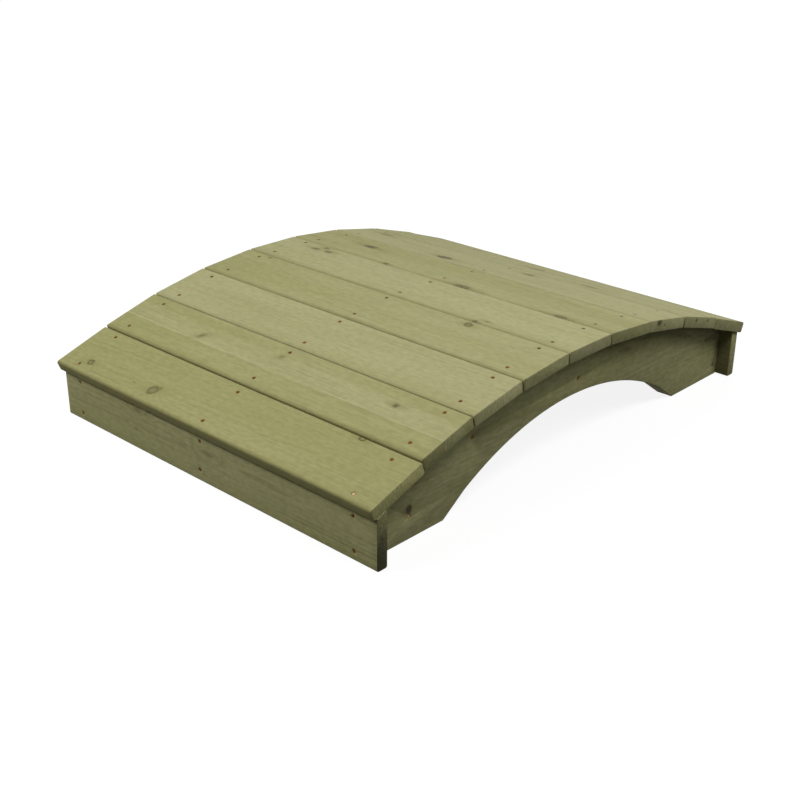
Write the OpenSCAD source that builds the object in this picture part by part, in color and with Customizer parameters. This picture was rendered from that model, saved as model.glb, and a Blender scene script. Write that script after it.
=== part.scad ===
// Low arched garden bridge: planks laid across three arch-cut stringers, with a board closing each end.
// Millimetres. +X runs along the span, +Y across the deck, +Z up. The origin is the middle of the footprint.

/* [Deck] */
// Number of planks
plank_count = 9; // [7:2:11]
// Length of a plank, which is the width of the deck
plank_l = 914; // [600:1:1500]
// Width of a plank, along the span
plank_w = 135; // [110:0.5:150]
// Thickness of a plank
plank_t = 19; // [15:0.5:28]
// Gap between neighbouring planks, measured along the curve that they lie on
plank_gap = 1.5; // [0.5:0.25:8]
// Radius that the planks' edges are eased to
plank_ease = 3; // [1:0.25:5]
// Clearance between a plank and what it lies on
seat_gap = 0.2; // [0.1:0.05:0.5]

/* [Stringers] */
// Thickness of a stringer
stringer_t = 38; // [25:1:60]
// Height of the stringers at mid-span
stringer_h = 226; // [200:1:320]
// Radius of the curved top of a stringer
top_r = 1450; // [1200:5:2400]
// Slope of the straight ends of the top
end_slope = 18.9; // [15:0.1:22]
// Overhang of the planks past the outer stringers
side_overhang = 37; // [5:1:80]

/* [Arch] */
// Clear span of the arch at the ground
arch_span = 758; // [600:1:840]
// Clear height of the arch at mid-span
arch_h = 126; // [90:1:150]
// Radius of the arch
arch_r = 646; // [620:2:900]
// Angle of the straight cut at each foot of the arch, above the ground
toe_angle = 35; // [33:1:60]

/* [End boards] */
// Thickness of an end board
end_t = 19; // [15:0.5:28]
// Overhang of the deck past an end board, at the underside of the outermost plank
nose = 12; // [4:0.5:25]
// Radius that the end boards' edges are eased to
end_ease = 3; // [1:0.25:5]

/* [Hidden] */
// Sides of a full circle for the eased edges, and for the long arcs of the stringers
$fn = 64;
arc_fn = 720;

DECK_GREEN = [0.61, 0.60, 0.40];
STRINGER_GREEN = [0.43, 0.41, 0.27];
END_GREEN = [0.49, 0.47, 0.31];

// Distance that a cutting shape runs past the face it cuts
over = 10;

// Depth that the straight ends of a stringer's top start below its curve, so that the two outlines cross
sink = 0.05;

// Where the curved top of a stringer passes into its straight ends, and how far that is along the curve
tangent_x = top_r * sin(end_slope);
tangent_z = stringer_h - top_r * (1 - cos(end_slope));
tangent_s = top_r * end_slope * PI / 180;

// Slope and place of the top of a stringer, by distance from mid-span along the curve
function curve_slope(s) = abs(s) < tangent_s ? s / top_r * 180 / PI : sign(s) * end_slope;
function curve_point(s) =
    abs(s) < tangent_s
        ? [top_r * sin(curve_slope(s)), stringer_h - top_r * (1 - cos(curve_slope(s)))]
        : [sign(s) * (tangent_x + (abs(s) - tangent_s) * cos(end_slope)),
           tangent_z - (abs(s) - tangent_s) * sin(end_slope)];

// Distance of a plank's middle from mid-span along the curve, for planks numbered from the front
function plank_s(i) = (i - (plank_count + 1) / 2) * (plank_w + plank_gap);

// The rearmost plank's seat and slope, and the height of the line it lies on
last_seat = curve_point(plank_s(plank_count));
last_slope = curve_slope(plank_s(plank_count));
function last_line_z(x) = last_seat[1] - (x - last_seat[0]) * tan(last_slope);

// The end boards stand back from the lower edge of the outermost planks, and close the stringers' ends
end_outer_x = last_seat[0] + plank_w / 2 * cos(last_slope) - nose;
end_inner_x = end_outer_x - end_t;

// Centre line of an outer stringer
stringer_y = plank_l / 2 - side_overhang - stringer_t / 2;

// Extrudes an outline drawn in x and z across the bridge, centred on y = 0
module across(length) {
    translate([0, length / 2, 0])
        rotate([90, 0, 0])
            linear_extrude(length)
                children();
}

// Rectangle with round corners, with its lower left corner at the origin
module eased_rectangle(size, r) {
    translate([r, 0])
        square([size[0] - 2 * r, size[1]]);
    translate([0, r])
        square([size[0], size[1] - 2 * r]);
    for (x = [r, size[0] - r], y = [r, size[1] - r])
        translate([x, y])
            circle(r);
}

// Board with all its edges eased, centred on y = 0: what three rounded prisms have in common
module eased_board(width, length, height, r) {
    intersection() {
        across(length)
            eased_rectangle([width, height], r);
        translate([0, -length / 2, 0])
            linear_extrude(height)
                eased_rectangle([width, length], r);
        translate([0, -length / 2, 0])
            rotate([90, 0, 90])
                linear_extrude(width)
                    eased_rectangle([length, height], r);
    }
}

// One plank, tilted to lie on the curve at the middle of its width
module deck_plank(i) {
    seat = curve_point(plank_s(i));
    color(DECK_GREEN)
        translate([seat[0], 0, seat[1]])
            rotate([0, curve_slope(plank_s(i)), 0])
                translate([-plank_w / 2, 0, seat_gap])
                    eased_board(plank_w, plank_l, plank_t, plank_ease);
}

// Everything below the line of a stringer's top, whose straight ends run on outwards
module below_top() {
    start_x = tangent_x - sink * sin(end_slope);
    start_z = tangent_z - sink * cos(end_slope);
    run_z = start_z - end_outer_x * tan(end_slope);
    translate([0, stringer_h - top_r])
        circle(top_r, $fn = arc_fn);
    polygon([
        [-start_x - end_outer_x, run_z - stringer_h],
        [start_x + end_outer_x, run_z - stringer_h],
        [start_x + end_outer_x, run_z],
        [start_x, start_z],
        [-start_x, start_z],
        [-start_x - end_outer_x, run_z]
    ]);
}

// Everything under the arch: a disc that the two straight toe cuts narrow towards the ground
module under_arch() {
    intersection() {
        translate([0, arch_h - arch_r])
            circle(arch_r, $fn = arc_fn);
        polygon([
            [-arch_span / 2 - over / tan(toe_angle), -over],
            [arch_span / 2 + over / tan(toe_angle), -over],
            [0, arch_span / 2 * tan(toe_angle)]
        ]);
    }
}

// One stringer, centred on a line along the span
module stringer(y) {
    color(STRINGER_GREEN)
        translate([0, y, 0])
            across(stringer_t)
                difference() {
                    intersection() {
                        below_top();
                        translate([-end_inner_x, 0])
                            square([2 * end_inner_x, stringer_h + over]);
                    }
                    under_arch();
                }
}

// The rear end board, bevelled on top to the slope of the plank over it
module end_board() {
    color(END_GREEN)
        intersection() {
            translate([end_inner_x, 0, 0])
                eased_board(end_t, plank_l, stringer_h, end_ease);
            across(plank_l + 2 * over)
                polygon([
                    [end_inner_x - over, -over],
                    [end_outer_x + over, -over],
                    [end_outer_x + over, last_line_z(end_outer_x + over)],
                    [end_inner_x - over, last_line_z(end_inner_x - over)]
                ]);
        }
}

module left_stringer() {
    stringer(stringer_y);
}

module middle_stringer() {
    stringer(0);
}

module right_stringer() {
    stringer(-stringer_y);
}

module front_end_board() {
    mirror([1, 0, 0])
        end_board();
}

module rear_end_board() {
    end_board();
}

for (i = [1:plank_count])
    deck_plank(i);
left_stringer();
middle_stringer();
right_stringer();
front_end_board();
rear_end_board();
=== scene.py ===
"""Looks of a low arched garden bridge: nine planks on three stringers, with a board closing each end.

Each board is drawn in metres where the frame has it, given its nail holes and stained green. The grain, the
knots and the nail marks are worked out from the board's own coordinates. Then come the floor, the lights and
the camera.
"""
import math
import random

import bmesh
import bpy
from mathutils import Matrix, Vector, noise


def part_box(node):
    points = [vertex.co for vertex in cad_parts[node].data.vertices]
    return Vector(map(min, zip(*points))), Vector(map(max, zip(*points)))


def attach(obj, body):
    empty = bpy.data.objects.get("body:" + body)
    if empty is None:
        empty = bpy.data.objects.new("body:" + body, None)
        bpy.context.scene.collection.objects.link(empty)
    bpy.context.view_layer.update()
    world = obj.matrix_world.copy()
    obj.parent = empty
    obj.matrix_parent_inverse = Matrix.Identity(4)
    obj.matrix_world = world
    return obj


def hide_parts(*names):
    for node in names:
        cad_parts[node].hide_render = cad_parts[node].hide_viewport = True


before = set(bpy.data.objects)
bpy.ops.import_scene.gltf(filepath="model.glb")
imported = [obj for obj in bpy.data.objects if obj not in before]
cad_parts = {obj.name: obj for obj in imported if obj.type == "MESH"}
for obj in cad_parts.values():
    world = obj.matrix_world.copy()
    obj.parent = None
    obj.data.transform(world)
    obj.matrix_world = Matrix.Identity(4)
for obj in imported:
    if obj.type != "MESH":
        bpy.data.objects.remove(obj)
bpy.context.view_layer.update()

# Shapes that a box of the frame does not give, in metres and radians. An ease is the radius of a round edge.
PLANK_EASE = 0.003
NOSE_EASE = 0.0046
SAWN_EASE = 0.0011
END_EASE = 0.0045
BEVEL_EASE = 0.0013
STRINGER_EASE = 0.0016
TOP_R = 1.450
END_SLOPE = math.radians(18.9)
ARCH_R = 0.646
ARCH_H = 0.126
ARCH_SPAN = 0.758
TOE_ANGLE = math.radians(35)

# How far the edges of some planks have swelled, which planks they are, and how far all are tucked in below
SWELLED = 0.0006
SWELLED_FRONTS = range(3, 7)
SWELLED_BACKS = range(2, 9)
TUCKED = 0.0010

# How much thicker the planks and end boards look than in the frame, all of it added on their inner sides
THICKER = 0.0053
# How far the end boards' outer faces stand out, and the deck's two noses back, from where the frame has them
BOARD_OUT = 0.0008
NOSE_BACK = 0.0015

# How far a sawn board strays from true: the wave of its long edges, its cup and the swell of its face
EDGE_WAVE = 0.0004
CUP = 0.0003
FACE_SWELL = 0.0002

# How finely shapes are drawn: a board's sections, the steps of round stretches and the points on flats
SECTION_SPACING = 0.012
CORNER_STEPS = 4
SAWN_STEPS = 3
TOP_STEPS = 96
ARCH_STEPS = 80
RIM_TURNS = (0.0, 0.33, 0.67, 1.0)
NAIL_SIDES = 18
PLANK_FLATS = (5, 0, 9, 0)
END_FLATS = (0, 7, 0, 7)
# Angles in degrees above which an edge stays sharp
BOARD_CREASE = 40
NAIL_CREASE = 50

# Nails: the head, its hole and the dent round it, then a plank's pairs, from its middle and the stringers'
HEAD_R = 0.0030
HEAD_SUNK = 0.0003
HOLE_R = 0.0033
HOLE_DEPTH = 0.0012
DENT_R = 0.0041
NAIL_FRONT = -0.044
NAIL_BACK = 0.051
NAIL_BESIDE = 0.002
NAIL_STRAY = 0.003
# Half section of a driven nail: a low domed head with a worn rim, on a short length of shank
NAIL_PROFILE = (
    (0.0, -0.0002), (0.0010, -0.00023), (0.0020, -0.00032), (0.0027, -0.00046),
    (HEAD_R, -0.0007), (HEAD_R, -0.0011), (0.0016, -0.0016), (0.0015, -0.0080), (0.0, -0.0090),
)
# Half section of the dent that a driven nail leaves: a pressed rim round a straight hole
HOLE_PROFILE = (
    (0.0, 0.0030), (0.0062, 0.0030), (0.0049, 0.0003), (DENT_R, -0.0002), (HOLE_R, -0.0006),
    (HOLE_R - 0.0001, -HOLE_DEPTH), (0.0, -HOLE_DEPTH),
)


def stain(red, green, blue):
    """Linear colour of a stain that is written as it looks on a screen, from 0 to 255."""
    parts = [value / 255 for value in (red, green, blue)]
    linear = [part / 12.92 if part < 0.04045 else ((part + 0.055) / 1.055) ** 2.4 for part in parts]
    return (*linear, 1.0)


OLIVE = stain(153, 151, 102)
PALE = stain(173, 170, 129)
BROWN = stain(124, 115, 70)
KNOT_HEART = stain(92, 87, 57)
KNOT_RIM = stain(80, 73, 45)
KNOT_DARK = stain(34, 30, 18)
RUST = stain(122, 78, 34)
NAIL_DARK = stain(68, 36, 12)
NAIL_COPPER = stain(212, 172, 134)
WHITE = (1.0, 1.0, 1.0, 1.0)

# Tints that multiply the stain: for smoky streaks, late wood, dark seams and painted shade, and from dark to
# pale for finer marks
SMOKE_TINT = (0.78, 0.765, 0.74, 1.0)
RING_TINT = (0.62, 0.605, 0.54, 1.0)
FIBRE_TINTS = ((0.55, 0.55, 0.50, 1.0), (1.4, 1.4, 1.4, 1.0))
MOTTLE_TINTS = ((0.84, 0.84, 0.82, 1.0), (1.14, 1.14, 1.15, 1.0))
SAWN_TINTS = ((0.84, 0.84, 0.84, 1.0), (1.16, 1.16, 1.16, 1.0))
SEAM_AND_SHADE_TINTS = {
    # front: a dark seam along a plank's front edge, and painted shade on the first plank's downward-facing
    # nose
    "front": (0.38, 0.35, 0.26, 1.0),
    # back: painted shade on an end board's inner face, under the deck
    "back": (0.37, 0.36, 0.32, 1.0),
    # under: painted shade on faces that look down
    "under": (0.37, 0.36, 0.32, 1.0),
    # eaves: painted shadow of the deck's overhang under a stringer's top
    "eaves": (0.30, 0.30, 0.28, 1.0),
}

# How strongly each mark shows, from 0 to 1
TONE_SHARE = 0.35
STREAK_SHARE = 0.55
BEHIND_SHARE = 0.36
FIBRE_SHARE = 0.16
HALO_SHARE = 0.45
PITH_SHARE = 0.60
EDGE_SHARE = 0.16
RUST_SHARE = 0.70
# How much the wood and the nails shine
SPECULAR = 0.10
# Roughness of the wood, with what the fibres add and a knot takes off
WOOD_ROUGH = 0.68
FIBRE_ROUGHER = 0.14
KNOT_SMOOTHER = 0.18

# Fineness of each noise, in steps to the metre: across the grain, along it and through the board
FINENESS = {
    "wander": (4.0, 0.9, 4.0),
    "shiver": (70.0, 4.0, 70.0),
    "patch": (24.0, 3.2, 24.0),
    "fibre": (620.0, 11.0, 620.0),
    "tone": (16.0, 1.3, 16.0),
    "mottle": (150.0, 62.0, 150.0),
    "smoke": (54.0, 5.0, 54.0),
    "knot": (240.0, 70.0, 40.0),
    "rust": (500.0, 160.0, 500.0),
    "end_blotch": (130.0, 60.0, 420.0),
    "saw": (520.0, 30.0, 70.0),
    "streak": (1.0, 5.0, 1.0),
}

# The rings: how far they wander in metres, and how many rings they shiver by and a knot pushes them by
WANDER = 0.030
SHIVER = 0.9
KNOT_PUSH = 2.6
# Where in a year's ring the late wood darkens and ends, and the radius of the dark pith in metres
LATE_START = (0.15, 0.86)
LATE_FINISH = (0.90, 1.0)
PITH_REACH = (0.0025, 0.0050)
# Knots: how ragged their edges are, in radii, and how little distance along the grain counts in their stain
KNOT_ROUGH = 1.1
KNOT_TRAIL = 0.45
# How far the marks of a knot reach from its middle, in radii
HEART_REACH = (0.25, 1.10)
RIM_START = (0.40, 0.90)
RIM_FINISH = (0.85, 1.40)
HALO_REACH = (0.4, 2.2)
SWELL_REACH = (0.0, 4.5)
# Rust: how ragged its edge is, and how far it reaches from the middle of a nail
RUST_ROUGH = 0.003
RUST_REACH = DENT_R + 0.0008
# Reach in metres of worn edges, front seams, sawn ends, the inner face's painted shade and the eaves' painted
# shadow
EDGE_SKIN = (-0.0030, -0.0006)
FRONT_REACH = 0.0110
END_SKIN = (-0.0012, -0.0003)
BACK_SKIN = (0.0004, 0.0020)
EAVES_REACH = (0.004, 0.030)
EAVES_GROW = 0.32
# How far a face looks down where its painted shade is full, and where it starts
UNDER_FADE = (-0.45, -0.12)
# The pale line on a plank: how far it waves, how soft its edge is, and where the paler wood behind it fades
STREAK_WAVE = 0.006
STREAK_EDGE = (0.0010, 0.0042)
BEHIND_START = (-0.002, 0.003)
BEHIND_FINISH = (0.040, 0.052)


def look(seed, pale, pith, **more):
    """How one board differs from the others. The pith is where the tree's middle lies from the board's own.

    Short is how much is missing at the board's low end across the bridge, or, below zero, at its high end.
    """
    values = {
        "seed": seed,
        "pale": pale,
        "pith": pith,
        "lean": 0.0,
        "spacing": 0.0055,
        "grain": 0.30,
        "brown": 0.12,
        "streak": None,
        "mottle": 0.50,
        # front: dark front seam; back, under, eaves: painted shade on inner face, downward faces, under the
        # overhang
        "front": 0.20,
        "back": 0.0,
        "under": 0.0,
        "eaves": 0.0,
        "short": 0.001,
        "low_end": (0.93, 0.93),
        "high_end": (0.93, 0.93),
        "knots": (),
    }
    values.update(more)
    return values


def knot(across, along, radius, stretch=1.25, slant=0.0, heart=0.75, rim=0.5, dark=0.0):
    """A knot of a board, placed from the board's middle, with its size and how dark its heart and rim are."""
    return {
        "on_end": False,
        "centre": (across, along, 0.0),
        "radius": radius,
        "stretch": stretch,
        "slant": slant,
        "Heart": heart,
        "Rim": rim,
        "Dark": dark,
        "Halo": max(heart, rim),
        "Swell": 1.0,
    }


def end_knot(across, height, radius, dark):
    """A knot on the sawn end of a board, on the side where the along-grain place is lowest."""
    return {**knot(across, height, radius, stretch=0.9, dark=dark), "on_end": True, "Swell": 0.0}


PLANK_LOOKS = {
    1: look(
        1.3, 0.0, (0.012, 0, -0.040), lean=0.045, spacing=0.0062, grain=0.36,
        low_end=(1.14, 1.30), front=0.60, short=0.0018,
        knots=(
            knot(-0.031, 0.378, 0.0066, heart=0.35, rim=0.7),
            knot(-0.029, 0.171, 0.0112, stretch=1.0, slant=0.15, heart=0.40, rim=0.62),
            knot(-0.018, 0.160, 0.0050, stretch=1.0, heart=0.45, rim=0.4),
            knot(-0.031, 0.229, 0.0016, rim=0.3),
            knot(0.065, -0.318, 0.0062, heart=0.10, rim=0.8),
        ),
    ),
    2: look(
        4.7, 0.26, (-0.070, 0, -0.060), lean=-0.012, streak=-0.009,
        low_end=(0.76, 0.97), front=0.45, short=0.005,
        knots=(
            knot(0.006, 0.219, 0.0092, stretch=0.9, slant=0.60, heart=0.66, rim=0.1),
            knot(0.033, 0.003, 0.0075, stretch=1.0, slant=0.15, heart=0.45, rim=0.1),
            knot(0.025, -0.310, 0.0064, stretch=1.2, heart=0.92, rim=0.2),
        ),
    ),
    3: look(
        8.1, 0.54, (0.090, 0, -0.050), lean=0.020, grain=0.28, low_end=(1.12, 1.27), front=0.18, short=0.004,
    ),
    4: look(
        2.9, 0.30, (0.030, 0, -0.070), lean=-0.025, low_end=(0.82, 0.91), front=0.36, short=0.0025,
        knots=(
            knot(0.052, -0.222, 0.0072, heart=0.55, rim=0.75),
            knot(0.060, 0.376, 0.0035, heart=0.6, rim=0.2),
        ),
    ),
    5: look(
        6.4, 0.66, (-0.050, 0, -0.055), lean=0.015, low_end=(0.74, 0.83), front=0.28, short=0.002,
        knots=(
            knot(0.038, 0.349, 0.0072, stretch=1.6, rim=0.3),
            knot(0.057, 0.332, 0.0060, stretch=1.5, heart=0.7, rim=0.2),
            knot(0.041, 0.310, 0.0068, stretch=1.5, heart=0.85, rim=0.3),
            knot(-0.066, -0.221, 0.0048, heart=0.80),
            knot(-0.051, -0.241, 0.0042, heart=0.7, rim=0.2),
        ),
    ),
    6: look(
        3.6, 0.30, (0.055, 0, -0.048), lean=-0.018, brown=0.30, low_end=(0.73, 0.82), short=0.0015,
        knots=(
            knot(0.017, 0.286, 0.0105, stretch=1.7, heart=0.95, rim=0.4, dark=0.25),
            knot(-0.064, 0.157, 0.0048, heart=0.8),
            knot(-0.062, -0.065, 0.0090, stretch=2.2, heart=0.9),
            knot(-0.064, -0.328, 0.0075, stretch=1.9, heart=0.8),
        ),
    ),
    7: look(
        9.2, 0.68, (-0.024, 0, 0.001), lean=0.022, grain=0.52, brown=0.36, low_end=(0.90, 1.02), short=0.003,
        knots=(
            knot(-0.032, 0.132, 0.0125, stretch=1.4, heart=0.80, rim=0.9, dark=0.30),
            knot(0.040, -0.062, 0.0085, stretch=1.5, heart=0.8),
            knot(0.036, 0.380, 0.0120, stretch=1.3, heart=0.55, rim=0.2),
            end_knot(-0.032, 0.0072, 0.0085, 0.75),
        ),
    ),
    8: look(
        5.5, 0.50, (0.038, 0, 0.003), lean=-0.020, grain=0.55, brown=0.36, low_end=(0.84, 0.95), short=0.0015,
        knots=(
            knot(0.026, 0.008, 0.0120, stretch=1.5, heart=0.75, rim=0.3),
            knot(-0.024, -0.179, 0.0140, stretch=1.5, heart=0.75, rim=0.3),
            end_knot(-0.020, 0.0048, 0.0036, 0.60),
        ),
    ),
    9: look(
        7.7, 0.52, (-0.015, 0, -0.052), lean=0.028, brown=0.36, low_end=(0.78, 0.80),
        knots=(
            knot(0.048, -0.059, 0.0048, stretch=1.6),
            knot(-0.020, 0.266, 0.0080, heart=0.35, rim=0.8),
            knot(0.030, -0.330, 0.0035, heart=0.6, rim=0.2),
        ),
    ),
}

# End boards: back paints shade on the inner face, which lies under the deck
END_LOOKS = {
    "front_end_board": look(
        11.3, 0.28, (0.008, 0, -0.030), lean=0.014, spacing=0.0052, grain=0.72, brown=0.16, mottle=0.7,
        front=0.0, back=0.5, low_end=(0.19, 0.76), high_end=(0.85, 0.85), short=-0.0045,
        knots=(
            knot(0.012, -0.010, 0.0050, stretch=3.2, heart=0.35, rim=0.2),
            knot(0.030, 0.205, 0.0045, stretch=3.6, heart=0.40, rim=0.1),
            knot(-0.012, 0.215, 0.0030, stretch=2.0, heart=0.45, rim=0.1),
        ),
    ),
    "rear_end_board": look(
        13.8, 0.20, (-0.030, 0, -0.040), lean=-0.020, spacing=0.0050, grain=0.50, brown=0.3, mottle=1.0,
        front=0.0, back=0.65, low_end=(0.88, 1.0), short=0.006,
        knots=(knot(0.012, 0.180, 0.0070, heart=0.4, rim=0.8), knot(-0.022, -0.240, 0.0045)),
    ),
}

# Stringers: under paints shade on faces that look down; eaves paints the deck overhang's shadow on the right
# one
STRINGER_LOOKS = {
    "left_stringer": look(
        15.1, 0.22, (0.060, 0, -0.090), lean=0.035, spacing=0.0065, grain=0.42, brown=0.55, mottle=0.9,
        front=0.0, under=0.85,
        knots=(knot(0.030, 0.210, 0.0085, heart=0.4, rim=0.8), knot(-0.035, -0.430, 0.0060)),
    ),
    "middle_stringer": look(
        17.6, 0.22, (-0.040, 0, -0.060), lean=-0.030, spacing=0.0065, grain=0.42, brown=0.5, mottle=0.9,
        front=0.0, under=0.85,
        knots=(knot(0.040, -0.150, 0.0080, heart=0.4, rim=0.8),),
    ),
    "right_stringer": look(
        19.4, 0.40, (0.040, 0, -0.085), lean=0.040, spacing=0.0070, grain=0.46, brown=0.45, mottle=0.9,
        front=0.0, under=0.85, eaves=0.8,
        knots=(
            knot(-0.050, -0.471, 0.0078, stretch=0.85, heart=1.0, rim=0.9, dark=0.85),
            knot(0.062, 0.175, 0.0070, stretch=4.0, slant=0.30, heart=0.80, rim=0.1),
        ),
    ),
}

# Nails by place along the board and height: those of an end board, and those of an outer stringer
END_NAILS = ((0.400, 0.088), (0.400, 0.018), (0.008, 0.086), (0.012, 0.025), (-0.400, 0.087), (-0.402, 0.019))
STRINGER_NAILS = ((-0.470, 0.046), (-0.304, 0.141), (0.015, 0.157), (0.502, 0.097), (0.546, 0.025))


def build_mesh(name, verts, faces):
    """A new object, at the origin, of those vertices and faces."""
    mesh = bpy.data.meshes.new(name)
    mesh.from_pydata(verts, [], faces)
    mesh.update()
    piece = bpy.data.objects.new(name, mesh)
    bpy.context.scene.collection.objects.link(piece)
    return piece


def loft(name, rings):
    """A closed solid through rings of equally many points, closed flat at the first and the last."""
    count = len(rings[0])
    verts = [point for ring in rings for point in ring]
    faces = [tuple(reversed(range(count)))]
    for level in range(len(rings) - 1):
        for i in range(count):
            j = (i + 1) % count
            low = level * count
            high = low + count
            faces.append((low + i, low + j, high + j, high + i))
    faces.append(tuple(range(len(verts) - count, len(verts))))
    return build_mesh(name, verts, faces)


def turned_out(solid):
    """Turns the faces of a solid to look outwards."""
    shape = bmesh.new()
    shape.from_mesh(solid.data)
    bmesh.ops.recalc_face_normals(shape, faces=shape.faces)
    shape.to_mesh(solid.data)
    shape.free()
    return solid


def eased_section(corners, eases, inset, flats):
    """Outline of a board's section: round corners of those radii, all drawn in by an inset.

    The corners go round counter-clockwise. Flats are the numbers of extra points after each corner, by which
    the board can bend.
    """
    outline = []
    count = len(corners)
    arcs = []
    for i in range(count):
        before = (corners[i] - corners[i - 1]).normalized()
        after = (corners[(i + 1) % count] - corners[i]).normalized()
        out_before = Vector((before.y, -before.x))
        out_after = Vector((after.y, -after.x))
        centre = corners[i] - (out_before + out_after) * eases[i] / (1 + out_before.dot(out_after))
        turn = out_before.angle(out_after)
        arc = []
        for step in range(CORNER_STEPS + 1):
            angle = turn * step / CORNER_STEPS
            out = Matrix.Rotation(angle, 2) @ out_before
            arc.append(centre + out * (eases[i] - inset))
        arcs.append(arc)
    for i in range(count):
        outline.extend(arcs[i])
        start = arcs[i][-1]
        finish = arcs[(i + 1) % count][0]
        for step in range(1, flats[i] + 1):
            outline.append(start.lerp(finish, step / (flats[i] + 1)))
    return outline


def board_stations(length):
    """Places along a board, each with how far its section is drawn in there to ease the sawn ends."""
    half = length / 2
    turns = [math.pi / 2 * (0.1 + 0.9 * step / SAWN_STEPS) for step in range(SAWN_STEPS)]
    near = [(-half + SAWN_EASE * (1 - math.cos(turn)), SAWN_EASE * (1 - math.sin(turn))) for turn in turns]
    near[0] = (-half, near[0][1])
    run = length - 2 * SAWN_EASE
    count = round(run / SECTION_SPACING)
    middle = [(-half + SAWN_EASE + run * i / count, 0.0) for i in range(count + 1)]
    far = [(-place, inset) for place, inset in reversed(near)]
    return near + middle + far


def sawn_board(name, corners, eases, flats, length, shift):
    """A board of an eased section, drawn along y with its middle shifted."""
    rings = []
    for place, inset in board_stations(length):
        outline = eased_section(corners, eases, inset, flats)
        rings.append([Vector((point.x, place + shift, point.y)) for point in outline])
    return turned_out(loft(name, rings))


def unevenness(across, along, half, seed):
    """How far a sawn board strays from true at one spot: its long edges wave a little and its face cups."""
    side = 3.0 if across > 0 else -3.0
    share = across / half
    wave = noise.noise(Vector((side, along * 5.0, seed)))
    swell = noise.noise(Vector((across * 10.0, along * 4.0, seed + 40.0)))
    cup = noise.noise(Vector((along * 1.2, seed, 7.0)))
    return Vector((EDGE_WAVE * wave * abs(share), 0.0, CUP * cup * share * share + FACE_SWELL * swell))


def turned(profile, places):
    """Vertices and faces of a profile turned about its axis, once at each place. A place is a 4x4 matrix."""
    verts = []
    faces = []
    for place in places:
        start = len(verts)
        verts.append(place @ Vector((0, 0, profile[0][1])))
        for radius, height in profile[1:-1]:
            for i in range(NAIL_SIDES):
                angle = 2 * math.pi * i / NAIL_SIDES
                verts.append(place @ Vector((radius * math.cos(angle), radius * math.sin(angle), height)))
        verts.append(place @ Vector((0, 0, profile[-1][1])))
        last = len(verts) - 1
        for i in range(NAIL_SIDES):
            j = (i + 1) % NAIL_SIDES
            faces.append((start, start + 1 + i, start + 1 + j))
            for level in range(len(profile) - 3):
                low = start + 1 + level * NAIL_SIDES
                high = low + NAIL_SIDES
                faces.append((low + i, high + i, high + j, low + j))
            low = last - NAIL_SIDES
            faces.append((low + i, last, low + j))
    return verts, faces


def drill(board, places):
    """Cuts the dents of the nails into a board."""
    verts, faces = turned(HOLE_PROFILE, places)
    cutter = turned_out(build_mesh("nail_cutter", verts, faces))
    cut = board.modifiers.new("nail_holes", "BOOLEAN")
    cut.operation = "DIFFERENCE"
    cut.solver = "EXACT"
    cut.object = cutter
    done = bpy.data.meshes.new_from_object(board.evaluated_get(bpy.context.evaluated_depsgraph_get()))
    board.modifiers.clear()
    board.data = done
    bpy.data.objects.remove(cutter)


def shade_smooth(piece, angle):
    """Shades a piece smooth, apart from edges that turn by more than an angle in degrees."""
    mesh = piece.data
    shape = bmesh.new()
    shape.from_mesh(mesh)
    for face in shape.faces:
        face.smooth = True
    for edge in shape.edges:
        edge.smooth = edge.calc_face_angle(0.0) < math.radians(angle)
    shape.to_mesh(mesh)
    shape.free()


def set_down(board, seed, half, into_wood, place):
    """Writes a board's wood coordinates on its vertices, makes it a little uneven and puts it in its place.

    Wood coordinates run across the grain, along it and through the thickness, from the board's middle. What
    stands on the ground stays flat there.
    """
    mesh = board.data
    wood = mesh.attributes.new("wood", "FLOAT_VECTOR", "POINT")
    for vertex in mesh.vertices:
        spot = into_wood @ vertex.co
        wood.data[vertex.index].vector = spot
        stray = unevenness(spot.x, spot.y, half, seed)
        vertex.co = place @ (vertex.co + into_wood.inverted().to_3x3() @ stray)
        vertex.co.z = max(vertex.co.z, 0.0)
    mesh.update()


def facing(spot, normal):
    """A place for a nail: at a spot, with its head looking along a normal."""
    return Matrix.Translation(spot) @ normal.to_track_quat("Z", "Y").to_matrix().to_4x4()


def plank_seat(node):
    """Where a plank that is drawn flat about the origin lies on the bridge."""
    low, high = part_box(node)
    face = max(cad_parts[node].data.polygons, key=lambda polygon: polygon.area)
    up = face.normal if face.normal.z > 0 else -face.normal
    side = Vector((0, 1, 0))
    span = side.cross(up)
    turn = Matrix((span, side, up)).transposed().to_4x4()
    return Matrix.Translation((low + high) / 2) @ turn


def stringer_lines():
    """Where the middle of each stringer lies across the bridge."""
    return [sum(box.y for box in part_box(node)) / 2 for node in STRINGER_LOOKS]


def plank_nails(chance):
    """Spots of a plank's nails, from its middle: a pair over each stringer, driven a little out of line."""
    spots = []
    for line in stringer_lines():
        for across in (NAIL_FRONT, NAIL_BACK):
            stray_x = chance.uniform(-NAIL_STRAY, NAIL_STRAY)
            stray_y = chance.uniform(-NAIL_STRAY, NAIL_STRAY)
            spots.append((across + stray_x, line + NAIL_BESIDE + stray_y))
    return spots


def plank_edges(number, width):
    """Where the front and back edges of a plank lie from its middle."""
    front = -width / 2
    back = width / 2
    if number == 1:
        front += NOSE_BACK
    if number == len(PLANK_LOOKS):
        back -= NOSE_BACK
    if number in SWELLED_FRONTS:
        front -= SWELLED
    if number in SWELLED_BACKS:
        back += SWELLED
    return front, back


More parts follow.
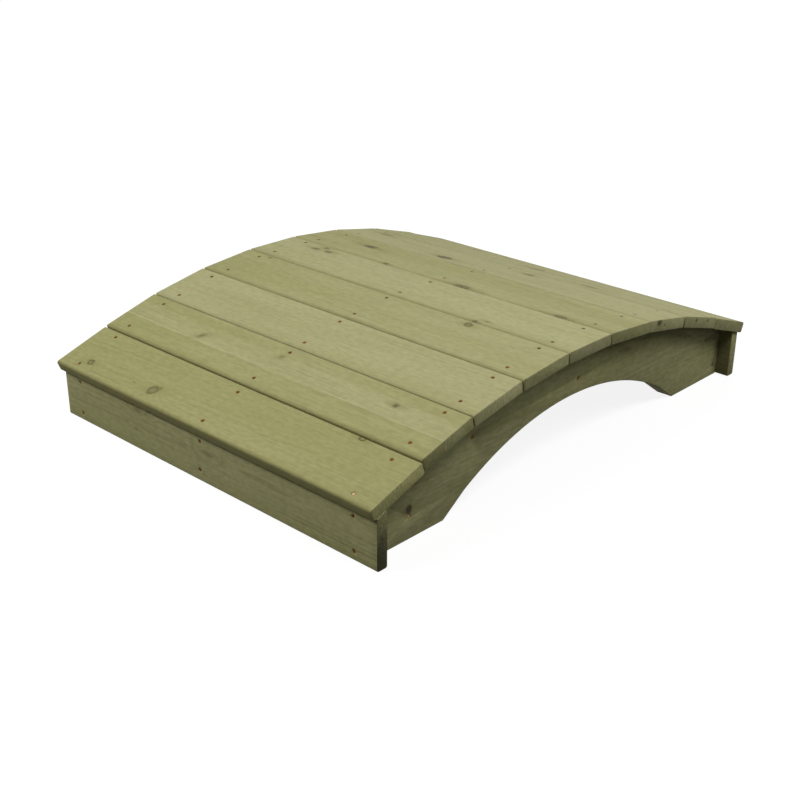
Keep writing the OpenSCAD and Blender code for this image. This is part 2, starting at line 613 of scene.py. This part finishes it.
def deck_plank(number, chance):
    """One plank of the deck, drilled, and the places of its nails on the bridge."""
    node = f"deck_plank_{number}"
    values = PLANK_LOOKS[number]
    short = values["short"]
    seat = plank_seat(node) @ Matrix.Translation((0, 0, -THICKER / 2))
    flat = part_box("deck_plank_5")
    width, length, thick = flat[1] - flat[0] + Vector((0, 0, THICKER))
    length -= short
    front, back = plank_edges(number, width)
    low = -thick / 2
    corners = [Vector(c) for c in ((front + TUCKED, low), (back - TUCKED, low), (back, -low), (front, -low))]
    front_ease = NOSE_EASE if number == 1 else PLANK_EASE
    back_ease = NOSE_EASE if number == len(PLANK_LOOKS) else PLANK_EASE
    eases = (front_ease, back_ease, back_ease, front_ease)
    plank = sawn_board(f"plank_{number}", corners, eases, PLANK_FLATS, length, short / 2)
    up = Vector((0, 0, 1))
    spots = [Vector((x, y, thick / 2)) for x, y in plank_nails(chance)]
    drill(plank, [facing(spot, up) for spot in spots])
    into_wood = Matrix.Translation((0, -short / 2, 0))
    set_down(plank, values["seed"], width / 2, into_wood, seat)
    marks = [into_wood @ spot for spot in spots]
    half = Vector((width / 2, length / 2, thick / 2))
    finish_board(plank, node, values, half, marks)
    strays = [unevenness(mark.x, mark.y, width / 2, values["seed"]) for mark in marks]
    return [seat @ facing(spot + stray, up) for spot, stray in zip(spots, strays)]


def end_board(node, out):
    """The board that closes one end of the bridge, drilled, and the places of its nails. Out is -1 or 1."""
    values = END_LOOKS[node]
    short = values["short"]
    low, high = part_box(node)
    thick, length, tall = high - low
    thick += THICKER
    length -= abs(short)
    slope = math.tan(END_SLOPE)
    tall += (THICKER - BOARD_OUT) * slope - THICKER / math.cos(END_SLOPE)
    edge = thick / 2
    corners = [Vector(c) for c in ((-edge, 0), (edge, 0), (edge, tall - thick * slope), (-edge, tall))]
    eases = (END_EASE, END_EASE, BEVEL_EASE, BEVEL_EASE)
    name = node.replace("_end_board", "_end_plate")
    board = sawn_board(name, corners, eases, END_FLATS, length, short / 2)
    spots = [Vector((edge, y, z)) for y, z in END_NAILS]
    face = Vector((1, 0, 0))
    drill(board, [facing(spot, face) for spot in spots])
    into_wood = Matrix(((0, 0, 1, -tall / 2), (0, 1, 0, -short / 2), (1, 0, 0, 0), (0, 0, 0, 1)))
    outer = max(abs(low.x), abs(high.x)) + BOARD_OUT
    middle = Vector((out * (outer - edge), 0, 0))
    place = Matrix.Translation(middle) @ Matrix.Diagonal((out, 1, 1, 1))
    set_down(board, values["seed"], tall / 2, into_wood, place)
    turned_out(board)
    marks = [into_wood @ spot for spot in spots]
    half = Vector((tall / 2, length / 2, edge))
    finish_board(board, node, values, half, marks)
    return [facing(place @ spot, Vector((out, 0, 0))) for spot in spots]


def stringer_outline(end, tall):
    """Outline of a stringer, by place along the span and height: the arch below, then the top.

    The curve of the top passes into straight ends, and the arch into straight toe cuts.
    """
    radius = TOP_R - THICKER
    tangent_x = radius * math.sin(END_SLOPE)
    tangent_z = tall - radius * (1 - math.cos(END_SLOPE))
    top = [(end, tangent_z - (end - tangent_x) * math.tan(END_SLOPE))]
    for i in range(TOP_STEPS + 1):
        angle = END_SLOPE * (1 - 2 * i / TOP_STEPS)
        top.append((radius * math.sin(angle), tall - radius * (1 - math.cos(angle))))
    top.append((-top[0][0], top[0][1]))
    slope = math.tan(TOE_ANGLE)
    depth = ARCH_SPAN / 2 * slope - (ARCH_H - ARCH_R)
    across = depth * slope
    reach = 1 + slope * slope
    meet = (across - math.sqrt(across * across - reach * (depth * depth - ARCH_R * ARCH_R))) / reach
    swing = math.asin(meet / ARCH_R)
    arch = [(-ARCH_SPAN / 2, 0)]
    for i in range(ARCH_STEPS + 1):
        angle = swing * (2 * i / ARCH_STEPS - 1)
        arch.append((ARCH_R * math.sin(angle), ARCH_H - ARCH_R * (1 - math.cos(angle))))
    arch.append((ARCH_SPAN / 2, 0))
    return [Vector(point) for point in [(-end, 0)] + arch + [(end, 0)] + top]


def drawn_in(outline, inset):
    """An outline that runs counter-clockwise, moved inwards by a small inset."""
    moved = []
    count = len(outline)
    for i in range(count):
        before = (outline[i] - outline[i - 1]).normalized()
        after = (outline[(i + 1) % count] - outline[i]).normalized()
        normal = Vector((-before.y, before.x)) + Vector((-after.y, after.x))
        moved.append(outline[i] + normal * inset / max(1 + before.dot(after), 0.3))
    return moved


def stringer(node, out):
    """One stringer with eased rims, drilled on its outer face, and the places of its nails.

    Out is 1 or -1 for the way that its outer face looks, and 0 for the middle stringer, which has no nails.
    """
    values = STRINGER_LOOKS[node]
    low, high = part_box(node)
    thick = high.y - low.y
    tall = high.z - THICKER
    end = high.x - THICKER + BOARD_OUT
    outline = stringer_outline(end, tall)
    rings = []
    for turn in RIM_TURNS:
        inset = STRINGER_EASE * (1 - math.sin(math.pi / 2 * turn))
        side = thick / 2 - STRINGER_EASE * (1 - math.cos(math.pi / 2 * turn))
        rings.append([Vector((point.x, -side, point.y)) for point in drawn_in(outline, inset)])
    rings += [[Vector((point.x, -point.y, point.z)) for point in ring] for ring in reversed(rings)]
    beam = turned_out(loft(node.replace("stringer", "beam"), rings))
    face = Vector((0, out, 0))
    spots = [Vector((x, out * thick / 2, z)) for x, z in STRINGER_NAILS] if out else []
    if spots:
        drill(beam, [facing(spot, face) for spot in spots])
    into_wood = Matrix(((0, 0, 1, -tall / 2), (1, 0, 0, 0), (0, 1, 0, 0), (0, 0, 0, 1)))
    place = Matrix.Translation((0, (low.y + high.y) / 2, 0))
    set_down(beam, values["seed"], tall / 2, into_wood, place)
    marks = [into_wood @ spot for spot in spots]
    half = Vector((tall / 2, end, thick / 2))
    finish_board(beam, node, values, half, marks)
    return [facing(place @ spot, face) for spot in spots]


def finish_board(board, node, values, half, marks):
    """Shades and stains a board, and lets it stand for its node."""
    shade_smooth(board, BOARD_CREASE)
    board.data.materials.clear()
    board.data.materials.append(stained_wood(board.name + "_wood", values, half, marks))
    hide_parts(node)
    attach(board, "root")


def nail_heads(name, places, bright=()):
    """The heads of a set of nails, each sunk a little into its dent. Bright ones are painted a pale copper.
    """
    sunk = [place @ Matrix.Translation((0, 0, -HEAD_SUNK)) for place in places]
    verts, faces = turned(NAIL_PROFILE, sunk)
    heads = turned_out(build_mesh(name, verts, faces))
    chance = random.Random(len(places))
    shines = [1.0 if i in bright else chance.uniform(0.0, 0.45) for i in range(len(places))]
    shine = heads.data.attributes.new("shine", "FLOAT", "POINT")
    for vertex in heads.data.vertices:
        shine.data[vertex.index].value = shines[vertex.index * len(places) // len(verts)]
    shade_smooth(heads, NAIL_CREASE)
    heads.data.materials.append(rusted_steel())
    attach(heads, "root")


def give(tree, socket, value):
    """Links a socket to another one, or writes a plain value on it."""
    if isinstance(value, bpy.types.NodeSocket):
        tree.links.new(value, socket)
    else:
        socket.default_value = value


def add(tree, kind, inputs=None, **settings):
    """Adds a shader node to a tree, with its own settings and its inputs, which go by name or number."""
    made = tree.nodes.new("ShaderNode" + kind)
    for name, value in settings.items():
        setattr(made, name, value)
    for name, value in (inputs or {}).items():
        give(tree, made.inputs[name], value)
    return made


def sums(tree, operation, *values):
    """The result of one step of arithmetic."""
    return add(tree, "Math", dict(enumerate(values)), operation=operation).outputs[0]


def times(tree, first, second):
    """The product of two values."""
    return sums(tree, "MULTIPLY", first, second)


def vectors(tree, operation, *values):
    """The result of one step of vector arithmetic."""
    made = add(tree, "VectorMath", dict(enumerate(values)), operation=operation)
    return made.outputs["Value" if operation in ("LENGTH", "DISTANCE") else "Vector"]


def parts_of(tree, vector):
    """The three parts of a vector."""
    return add(tree, "SeparateXYZ", {0: vector}).outputs


def rise(tree, value, low, high, bottom=0.0, top=1.0):
    """A smooth step from bottom to top, as a value goes from low to high."""
    inputs = {"Value": value, "From Min": low, "From Max": high, "To Min": bottom, "To Max": top}
    return add(tree, "MapRange", inputs, interpolation_type="SMOOTHSTEP").outputs[0]


def fade(tree, value, low, high):
    """A smooth step from 1 down to 0, as a value goes from low to high."""
    return rise(tree, value, low, high, 1.0, 0.0)


def mixed(tree, factor, first, second, blend="MIX"):
    """Two colours, mixed by a factor."""
    inputs = {0: factor, 6: first, 7: second}
    return add(tree, "Mix", inputs, data_type="RGBA", blend_type=blend).outputs[2]


def streaky(tree, where, seed, kind, detail=2.0, output=0):
    """Noise of a kind, each kind with its own fineness across the grain, along it and through the board."""
    scaled = vectors(tree, "MULTIPLY", where, FINENESS[kind])
    shift = add(tree, "CombineXYZ", {0: seed, 1: seed, 2: seed}).outputs[0]
    moved = vectors(tree, "ADD", scaled, shift)
    return add(tree, "TexNoise", {"Vector": moved, "Scale": 1.0, "Detail": detail}).outputs[output]


def new_group(name, inputs, outputs):
    """A shader node group with inputs, which are given by name and first value, and outputs by name."""
    group = bpy.data.node_groups.new(name, "ShaderNodeTree")
    for label, value in inputs.items():
        kind = "NodeSocketVector" if isinstance(value, tuple) else "NodeSocketFloat"
        socket = group.interface.new_socket(label, in_out="INPUT", socket_type=kind)
        socket.default_value = value
    for label in outputs:
        group.interface.new_socket(label, in_out="OUTPUT", socket_type="NodeSocketFloat")
    start = group.nodes.new("NodeGroupInput")
    end = group.nodes.new("NodeGroupOutput")
    return group, start.outputs, end.inputs


def place_group(tree, group, inputs):
    """Places a node group in a tree and gives its outputs."""
    return add(tree, "Group", inputs, node_tree=group).outputs


def blank_material(name):
    """A new material with an empty node tree."""
    made = bpy.data.materials.new(name)
    made.use_nodes = True
    made.node_tree.nodes.clear()
    return made


def to_surface(tree, shader, kind="OutputMaterial"):
    """Links a shader to a new output of a tree, that of a material or that of the world."""
    output = add(tree, kind)
    tree.links.new(shader.outputs[0], output.inputs["Surface"])


def dull_surface(tree, colour, rough, bump):
    """Gives a material's tree its shader: one that shines very little."""
    inputs = {"Base Color": colour, "Roughness": rough, "Normal": bump, "Specular IOR Level": SPECULAR}
    to_surface(tree, add(tree, "BsdfPrincipled", inputs))


def growth_rings():
    """Node group: the tree's growth rings as the board cuts them, with its fibres and changes of tone."""
    group, given, result = new_group(
        "growth_rings",
        {"Position": (0.0, 0.0, 0.0), "Pith": (0.0, 0.0, 0.0), "Lean": 0.0, "Spacing": 0.005, "Swell": 0.0,
         "Seed": 0.0},
        ("Rings", "Fibre", "Mottle", "Tone", "Smoke", "Heart"),
    )
    where = given["Position"]
    seed = given["Seed"]
    wander = streaky(group, where, seed, "wander", output="Color")
    wander = vectors(group, "SUBTRACT", wander, (0.5, 0.5, 0.5))
    wander = vectors(group, "MULTIPLY", wander, (WANDER, 0.0, WANDER))
    along = parts_of(group, where)["Y"]
    leaned = add(group, "CombineXYZ", {0: times(group, along, given["Lean"])}).outputs[0]
    spot = vectors(group, "ADD", vectors(group, "ADD", where, wander), leaned)
    spot = vectors(group, "SUBTRACT", spot, given["Pith"])
    reach = vectors(group, "LENGTH", vectors(group, "MULTIPLY", spot, (1.0, 0.0, 1.0)))
    shiver = sums(group, "SUBTRACT", streaky(group, where, seed, "shiver"), 0.5)
    count = sums(group, "DIVIDE", reach, given["Spacing"])
    count = sums(group, "ADD", count, times(group, shiver, SHIVER))
    count = sums(group, "ADD", count, times(group, given["Swell"], KNOT_PUSH))
    year = add(group, "TexNoise", {"W": sums(group, "ADD", count, seed), "Scale": 0.6, "Detail": 1.0},
               noise_dimensions="1D").outputs[0]
    phase = sums(group, "FRACT", count)
    late = times(group, rise(group, phase, *LATE_START), fade(group, phase, *LATE_FINISH))
    patch = rise(group, streaky(group, where, seed, "patch"), 0.30, 0.70, 0.15, 1.0)
    strength = times(group, rise(group, year, 0.30, 0.72, 0.25, 1.0), patch)
    give(group, result["Rings"], times(group, late, strength))
    give(group, result["Fibre"], streaky(group, where, seed, "fibre", 3.0))
    give(group, result["Tone"], rise(group, streaky(group, where, seed, "tone"), 0.3, 0.7))
    mottle = streaky(group, where, seed, "mottle", 4.0)
    give(group, result["Mottle"], rise(group, mottle, 0.25, 0.75))
    smoke = streaky(group, where, seed, "smoke", 5.0)
    give(group, result["Smoke"], rise(group, smoke, 0.44, 0.74))
    give(group, result["Heart"], fade(group, reach, *PITH_REACH))
    return group


def knot_mark():
    """Node group: one knot: its dark heart, its rim, the stained wood round it and its push on the rings."""
    group, given, result = new_group(
        "knot_mark",
        {"Position": (0.0, 0.0, 0.0), "Centre": (0.0, 0.0, 0.0), "Radius": 0.006, "Stretch": 1.2,
         "Slant": 0.0},
        ("Heart", "Rim", "Halo", "Swell"),
    )
    offset = parts_of(group, vectors(group, "SUBTRACT", given["Position"], given["Centre"]))
    across = sums(group, "ADD", offset["X"], times(group, offset["Y"], given["Slant"]))
    along = sums(group, "DIVIDE", offset["Y"], given["Stretch"])
    flat = add(group, "CombineXYZ", {0: across, 1: along}).outputs[0]
    reach = sums(group, "DIVIDE", vectors(group, "LENGTH", flat), given["Radius"])
    trail = vectors(group, "LENGTH", vectors(group, "MULTIPLY", flat, (1.0, KNOT_TRAIL, 1.0)))
    trail = sums(group, "DIVIDE", trail, given["Radius"])
    rough = streaky(group, given["Position"], 3.0, "knot", 3.0)
    rough = times(group, sums(group, "SUBTRACT", rough, 0.5), KNOT_ROUGH)
    edge = sums(group, "ADD", reach, rough)
    give(group, result["Heart"], fade(group, edge, *HEART_REACH))
    outer = fade(group, edge, *RIM_FINISH)
    give(group, result["Rim"], times(group, rise(group, edge, *RIM_START), outer))
    give(group, result["Halo"], fade(group, sums(group, "ADD", trail, rough), *HALO_REACH))
    give(group, result["Swell"], fade(group, reach, *SWELL_REACH))
    return group


def nail_marks():
    """Node group: the rust that six nails have let into the wood."""
    names = [f"Nail {i}" for i in range(1, 7)]
    group, given, result = new_group(
        "nail_marks", {"Position": (0.0, 0.0, 0.0), **{name: (9.0, 9.0, 9.0) for name in names}}, ("Rust",)
    )
    nearest = 1.0
    for name in names:
        nearest = sums(group, "MINIMUM", vectors(group, "DISTANCE", given["Position"], given[name]), nearest)
    rough = streaky(group, given["Position"], 5.0, "rust")
    rough = times(group, sums(group, "SUBTRACT", rough, 0.5), RUST_ROUGH)
    edge = sums(group, "ADD", nearest, rough)
    give(group, result["Rust"], fade(group, edge, HOLE_R, RUST_REACH))
    return group


def board_edges():
    """Node group: a board's eased edges, its two sawn ends, its front edge and its inner face."""
    group, given, result = new_group(
        "board_edges",
        {"Position": (0.0, 0.0, 0.0), "Half size": (1.0, 1.0, 1.0)},
        ("Edge", "Low end", "High end", "Rise", "Saw", "Front", "Back"),
    )
    size = vectors(group, "SUBTRACT", vectors(group, "ABSOLUTE", given["Position"]), given["Half size"])
    parts = parts_of(group, size)
    near = [rise(group, part, *EDGE_SKIN) for part in parts]
    pairs = [times(group, near[i], near[j]) for i, j in ((0, 1), (0, 2), (1, 2))]
    edge = sums(group, "MAXIMUM", sums(group, "MAXIMUM", pairs[0], pairs[1]), pairs[2])
    give(group, result["Edge"], edge)
    place = parts_of(group, given["Position"])
    along = place["Y"]
    reach = parts_of(group, given["Half size"])
    tall = reach["X"]
    mottle = streaky(group, given["Position"], 6.0, "end_blotch", 3.0)
    high = sums(group, "ADD", sums(group, "DIVIDE", place["X"], tall), times(group, mottle, 1.6))
    give(group, result["Rise"], rise(group, high, 0.3, 1.9))
    give(group, result["Saw"], streaky(group, given["Position"], 8.0, "saw", 3.0))
    # Masks for the dark front seam, and for painted shade on the inner face
    front = sums(group, "ADD", place["X"], tall)
    give(group, result["Front"], fade(group, front, 0.0, FRONT_REACH))
    back = sums(group, "ADD", place["Z"], reach["Z"])
    give(group, result["Back"], fade(group, back, *BACK_SKIN))
    end = rise(group, parts["Y"], *END_SKIN)
    give(group, result["Low end"], times(group, end, sums(group, "LESS_THAN", along, 0.0)))
    give(group, result["High end"], times(group, end, sums(group, "GREATER_THAN", along, 0.0)))
    return group


GROWTH_RINGS = growth_rings()
KNOT_MARK = knot_mark()
NAIL_MARKS = nail_marks()
BOARD_EDGES = board_edges()


def knots_of(tree, where, knots, low_end):
    """The masks of all the knots of a board together: heart, rim, halo, swell and what is nearly black."""
    total = dict.fromkeys(("Heart", "Rim", "Halo", "Swell", "Dark"), 0.0)
    parts = parts_of(tree, where)
    on_end = add(tree, "CombineXYZ", {0: parts["X"], 1: parts["Z"]}).outputs[0]
    for mark in knots:
        inputs = {"Position": on_end if mark["on_end"] else where, "Centre": mark["centre"],
                  "Radius": mark["radius"], "Stretch": mark["stretch"], "Slant": mark["slant"]}
        found = place_group(tree, KNOT_MARK, inputs)
        for name in total:
            share = times(tree, found["Heart" if name == "Dark" else name], mark[name])
            if mark["on_end"]:
                share = times(tree, share, low_end)
            total[name] = sums(tree, "MAXIMUM", share, total[name])
    return total


def eaves_of(tree, where, top):
    """The painted shadow line under a stringer's top, growing towards the rear. Top is where that lies at
    mid-span.
    """
    parts = parts_of(tree, where)
    drop = times(tree, times(tree, parts["Y"], parts["Y"]), 0.5 / TOP_R)
    below = sums(tree, "SUBTRACT", sums(tree, "SUBTRACT", top, drop), parts["X"])
    line = fade(tree, below, *EAVES_REACH)
    return times(tree, line, rise(tree, parts["Y"], 0.0, EAVES_GROW))


def streak_of(tree, where, place):
    """A pale line along a board, at a place across it, and the paler wood behind it."""
    across = parts_of(tree, where)["X"]
    wave = times(tree, streaky(tree, where, 2.0, "streak"), STREAK_WAVE)
    beside = sums(tree, "SUBTRACT", across, sums(tree, "ADD", wave, place - STREAK_WAVE / 2))
    line = fade(tree, sums(tree, "ABSOLUTE", beside), *STREAK_EDGE)
    behind = rise(tree, beside, *BEHIND_START)
    behind = times(tree, behind, fade(tree, beside, *BEHIND_FINISH))
    return line, behind


def stained_wood(name, values, half, marks):
    """Softwood under a thin green stain, with one board's own grain, knots, tone and nail marks, and painted
    shade.
    """
    finish = blank_material(name)
    tree = finish.node_tree
    where = add(tree, "Attribute", attribute_name="wood").outputs["Vector"]
    edges = place_group(tree, BOARD_EDGES, {"Position": where, "Half size": tuple(half)})
    knots = knots_of(tree, where, values["knots"], edges["Low end"])
    wood = place_group(tree, GROWTH_RINGS, {
        "Position": where, "Pith": values["pith"], "Lean": values["lean"], "Spacing": values["spacing"],
        "Swell": knots["Swell"], "Seed": values["seed"],
    })
    nails = {f"Nail {i}": tuple(mark) for i, mark in enumerate(marks, 1)}
    rust = place_group(tree, NAIL_MARKS, {"Position": where, **nails})["Rust"]
    pale = times(tree, sums(tree, "SUBTRACT", wood["Tone"], 0.5), TONE_SHARE)
    pale = sums(tree, "ADD", pale, values["pale"])
    if values["streak"]:
        line, behind = streak_of(tree, where, values["streak"])
        behind = sums(tree, "SUBTRACT", behind, 0.5)
        pale = sums(tree, "ADD", pale, times(tree, line, STREAK_SHARE))
        pale = sums(tree, "ADD", pale, times(tree, behind, BEHIND_SHARE))
    colour = mixed(tree, pale, OLIVE, PALE)
    fibre = rise(tree, wood["Fibre"], 0.25, 0.75)
    tints = (
        (times(tree, wood["Smoke"], values["brown"]), SMOKE_TINT),
        (times(tree, wood["Rings"], values["grain"]), RING_TINT),
        (FIBRE_SHARE, mixed(tree, fibre, *FIBRE_TINTS)),
        (values["mottle"], mixed(tree, wood["Mottle"], *MOTTLE_TINTS)),
    )
    for share, tint in tints:
        colour = mixed(tree, share, colour, tint, "MULTIPLY")
    stains = (
        (times(tree, knots["Halo"], HALO_SHARE), BROWN),
        (knots["Heart"], KNOT_HEART),
        (knots["Rim"], KNOT_RIM),
        (knots["Dark"], KNOT_DARK),
        (times(tree, wood["Heart"], PITH_SHARE), KNOT_RIM),
        (times(tree, edges["Edge"], EDGE_SHARE), PALE),
    )
    for share, shade in stains:
        colour = mixed(tree, share, colour, shade)
    # Each sawn end gets its board's own tone, ramped across the end face; the front end board's end is much
    # darker towards the bottom
    sawn = mixed(tree, rise(tree, edges["Saw"], 0.3, 0.7), *SAWN_TINTS)
    for end in ("Low end", "High end"):
        bottom, top = values[end.lower().replace(" ", "_")]
        end_tone = mixed(tree, edges["Rise"], (bottom, bottom, bottom, 1.0), (top, top, top, 1.0))
        end_tone = mixed(tree, 1.0, end_tone, sawn, "MULTIPLY")
        colour = mixed(tree, edges[end], colour, end_tone, "MULTIPLY")
    # Painted shade on faces that look down, on an end board's inner face and under the deck's overhang, and a
    # dark front seam
    facing_up = parts_of(tree, add(tree, "NewGeometry").outputs["Normal"])["Z"]
    under = fade(tree, facing_up, *UNDER_FADE)
    seam_and_shade = {"front": edges["Front"], "back": edges["Back"], "under": under}
    if values["eaves"]:
        seam_and_shade["eaves"] = eaves_of(tree, where, half.x)
    for share, mask in seam_and_shade.items():
        if values[share]:
            shade = times(tree, mask, values[share])
            colour = mixed(tree, shade, colour, SEAM_AND_SHADE_TINTS[share], "MULTIPLY")
    colour = mixed(tree, times(tree, rust, RUST_SHARE), colour, RUST)
    height = times(tree, wood["Rings"], 0.5)
    height = sums(tree, "SUBTRACT", height, times(tree, wood["Fibre"], 0.6))
    height = sums(tree, "SUBTRACT", height, times(tree, knots["Rim"], 0.8))
    bump = add(tree, "Bump", {"Height": height, "Strength": 0.5, "Distance": 0.0005}).outputs[0]
    rough = sums(tree, "ADD", times(tree, fibre, FIBRE_ROUGHER), WOOD_ROUGH)
    rough = sums(tree, "SUBTRACT", rough, times(tree, knots["Heart"], KNOT_SMOOTHER))
    dull_surface(tree, colour, rough, bump)
    return finish


def rusted_steel():
    """Nail steel gone brown, bright and coppery on some heads. Made once and shared by all the nails."""
    made = bpy.data.materials.get("rusted_steel")
    if made:
        return made
    finish = blank_material("rusted_steel")
    tree = finish.node_tree
    where = add(tree, "TexCoord").outputs["Object"]
    shine = add(tree, "Attribute", attribute_name="shine").outputs["Fac"]
    pits = add(tree, "TexNoise", {"Vector": where, "Scale": 900.0, "Detail": 3.0}).outputs[0]
    rusted = mixed(tree, rise(tree, sums(tree, "ADD", pits, shine), 0.45, 1.0), NAIL_DARK, RUST)
    colour = mixed(tree, rise(tree, shine, 0.5, 0.9), rusted, NAIL_COPPER)
    rough = rise(tree, pits, 0.3, 0.7, 0.45, 0.80)
    bump = add(tree, "Bump", {"Height": pits, "Strength": 0.4, "Distance": 0.0002}).outputs[0]
    dull_surface(tree, colour, rough, bump)
    return finish


def seen_directly(tree):
    """1 for what the camera sees, also reflected or through glass, and 0 for light that falls elsewhere."""
    path = add(tree, "LightPath").outputs
    seen = sums(tree, "MAXIMUM", path["Is Camera Ray"], path["Is Glossy Ray"])
    return sums(tree, "MAXIMUM", seen, path["Is Transmission Ray"])


# Floor: its half size, how pale it is to the camera and to the bridge, and its glow from near to far
FLOOR_HALF = 30.0
FLOOR_MATT = 0.20
FLOOR_BOUNCE = 0.12
GLOW_REACH = (0.9, 2.4)
GLOW = (0.88, 1.0)


def pale_floor():
    """A plain floor that looks white, keeps a soft shadow and throws only a little light back up."""
    half = FLOOR_HALF
    corners = [(-half, -half, 0), (half, -half, 0), (half, half, 0), (-half, half, 0)]
    floor = build_mesh("floor", corners, [(0, 1, 2, 3)])
    finish = blank_material("floor_white")
    tree = finish.node_tree
    away = vectors(tree, "LENGTH", add(tree, "TexCoord").outputs["Object"])
    glow_strength = rise(tree, away, *GLOW_REACH, *GLOW)
    matt = add(tree, "BsdfDiffuse", {"Color": (FLOOR_MATT, FLOOR_MATT, FLOOR_MATT, 1.0)})
    glow = add(tree, "Emission", {"Color": WHITE, "Strength": glow_strength})
    dark = add(tree, "BsdfDiffuse", {"Color": (FLOOR_BOUNCE, FLOOR_BOUNCE, FLOOR_BOUNCE, 1.0)})
    white = add(tree, "AddShader", {0: matt.outputs[0], 1: glow.outputs[0]})
    both = add(tree, "MixShader", {0: seen_directly(tree), 1: dark.outputs[0], 2: white.outputs[0]})
    to_surface(tree, both)
    floor.data.materials.append(finish)


# Light: what the sky gives, what the lamps look at, and each lamp's place, size in metres and power in watts
SKY = 0.01
LAMP_AIM = Vector((0, 0, 0.15))
LAMPS = (
    ("side_lamp", (-0.2, -1.9, 3.2), 1.2, 52.8),
    ("rear_side_lamp", (1.8, -2.9, 2.5), 1.4, 28.6),
    ("front_lamp", (-1.9, 0.6, 3.2), 1.2, 16.8),
    ("far_front_lamp", (-3.0, 1.8, 2.9), 1.2, 102.3),
    ("rear_lamp", (3.0, 1.0, 2.0), 1.6, 27.1),
)


def studio_light():
    """White background, a little light from all round, and soft lamps that stand round the bridge."""
    world = bpy.data.worlds.new("studio")
    bpy.context.scene.world = world
    world.use_nodes = True
    tree = world.node_tree
    tree.nodes.clear()
    strength = sums(tree, "MAXIMUM", seen_directly(tree), SKY)
    background = add(tree, "Background", {"Color": WHITE, "Strength": strength})
    to_surface(tree, background, "OutputWorld")
    for name, spot, size, power in LAMPS:
        lamp = bpy.data.lights.new(name, "AREA")
        lamp.shape = "DISK"
        lamp.size = size
        lamp.energy = power
        stand = bpy.data.objects.new(name, lamp)
        aim = LAMP_AIM - Vector(spot)
        stand.matrix_world = Matrix.Translation(spot) @ aim.to_track_quat("-Z", "Y").to_matrix().to_4x4()
        bpy.context.scene.collection.objects.link(stand)


# Camera: its place, how far it turns from +X towards +Y, looks down and leans, and its lens in millimetres
CAMERA_SPOT = (-1.8799, -1.7186, 1.1387)
CAMERA_TURN = 0.75303
CAMERA_DOWN = 0.42624
CAMERA_LEAN = 0.00654
CAMERA_LENS = 56.88


def set_camera():
    """The camera that took the photograph, as far as the bridge's own lines tell."""
    lens = bpy.data.cameras.new("camera")
    lens.sensor_fit = "HORIZONTAL"
    lens.sensor_width = 36.0
    lens.lens = CAMERA_LENS
    lens.clip_end = 200.0
    camera = bpy.data.objects.new("camera", lens)
    flat = math.cos(CAMERA_DOWN)
    ahead = Vector((flat * math.cos(CAMERA_TURN), flat * math.sin(CAMERA_TURN), -math.sin(CAMERA_DOWN)))
    right = ahead.cross(Vector((0, 0, 1))).normalized()
    turn = Matrix((right, right.cross(ahead), -ahead)).transposed().to_4x4()
    camera.matrix_world = Matrix.Translation(CAMERA_SPOT) @ turn @ Matrix.Rotation(CAMERA_LEAN, 4, "Z")
    bpy.context.scene.collection.objects.link(camera)
    bpy.context.scene.camera = camera


def bridge():
    """All the boards of the bridge and their nails."""
    chance = random.Random(7)
    deck = []
    for number in PLANK_LOOKS:
        deck += deck_plank(number, chance)
    nail_heads("deck_nails", deck, bright=(4,))
    nail_heads("front_end_nails", end_board("front_end_board", -1))
    nail_heads("rear_end_nails", end_board("rear_end_board", 1))
    nail_heads("left_nails", stringer("left_stringer", 1))
    nail_heads("right_nails", stringer("right_stringer", -1), bright=(0,))
    stringer("middle_stringer", 0)


bridge()
pale_floor()
studio_light()
set_camera()
bpy.context.scene.view_settings.view_transform = "Standard"
